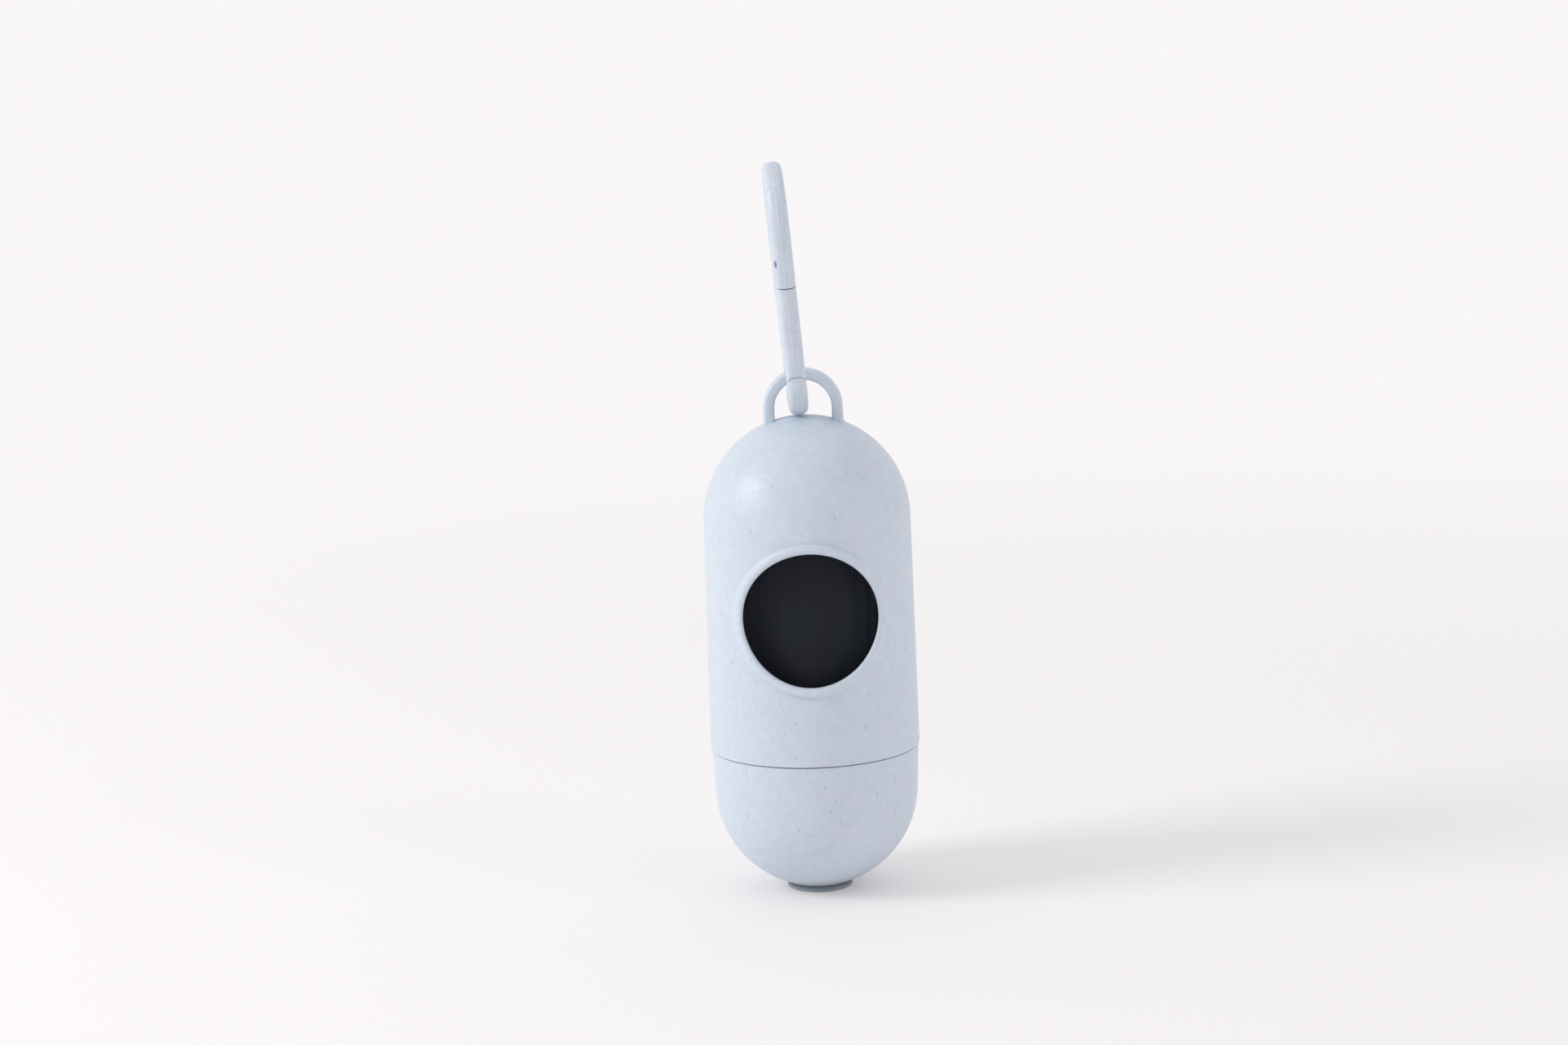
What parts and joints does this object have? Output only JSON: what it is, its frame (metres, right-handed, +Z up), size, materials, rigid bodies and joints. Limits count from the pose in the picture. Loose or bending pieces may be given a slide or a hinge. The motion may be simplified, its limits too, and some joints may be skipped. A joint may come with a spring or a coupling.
{
  "type": "dog poop bag dispenser",
  "caption": "Capsule-shaped bag dispenser for a dog lead: a screw-on cup, a shell with a round mouth, a roll of bags inside, and a sprung carabiner on a moulded loop.",
  "frame": {"origin": "on the table, at the centre of the foot ring and on the axis of the case", "axes": "+Z up along the axis of the case, -Y the front, towards which the dispensing mouth faces, +X to the right seen from the front"},
  "size_m": [0.0396, 0.0404, 0.1381],
  "materials": {
    "cap_plastic": "satin, finely speckled",
    "shell_plastic": "satin, finely speckled",
    "clip_plastic": "satin, finely speckled",
    "core_card": "bare grey-brown card",
    "bag_film": "black film, slightly glossy",
    "pin_steel": "plain",
    "spring_steel": "drawn wire"
  },
  "bodies": {
    "cap": {"screw_cap": "cap_plastic"},
    "core": {"roll_core": "core_card"},
    "roll": {"bag_roll": "bag_film"},
    "shell": {"upper_shell": "shell_plastic"},
    "carabiner": {"carabiner_frame": "clip_plastic", "gate_pin": "pin_steel"},
    "gate": {"carabiner_gate": "clip_plastic", "gate_spring": "spring_steel"}
  },
  "joints": [
    {"name": "cap_twist", "type": "hinge", "parent": "cap", "child": "core", "pos_m": [0, 0, 0.0242], "axis": [0, 0, 1], "range_deg": [0, 1800]},
    {"name": "shell_lift", "type": "slide", "parent": "core", "child": "shell", "axis": [0, 0, 1], "range_m": [0, 0.0601]},
    {"name": "roll_spin", "type": "hinge", "parent": "core", "child": "roll", "pos_m": [0, 0, 0.0413], "axis": [0, 0, 1], "continuous": true},
    {"name": "carabiner_swing", "type": "hinge", "parent": "shell", "child": "carabiner", "pos_m": [-0.0013, 0, 0.09843], "axis": [0.9965, 0.0383, 0.075], "range_deg": [-88, 88]},
    {"name": "gate_open", "type": "hinge", "parent": "carabiner", "child": "gate", "pos_m": [-0.0012, -0.00583, 0.10003], "axis": [-0.9965, -0.0383, -0.075], "range_deg": [0, 28], "stiffness_Nm_per_rad": 0.012, "springref_deg": -20.05, "deforming": ["gate_spring"]}
  ],
  "couplings": [
    {"joint": "shell_lift", "follows": "cap_twist", "m_per_rad": 0.0019099}
  ]
}
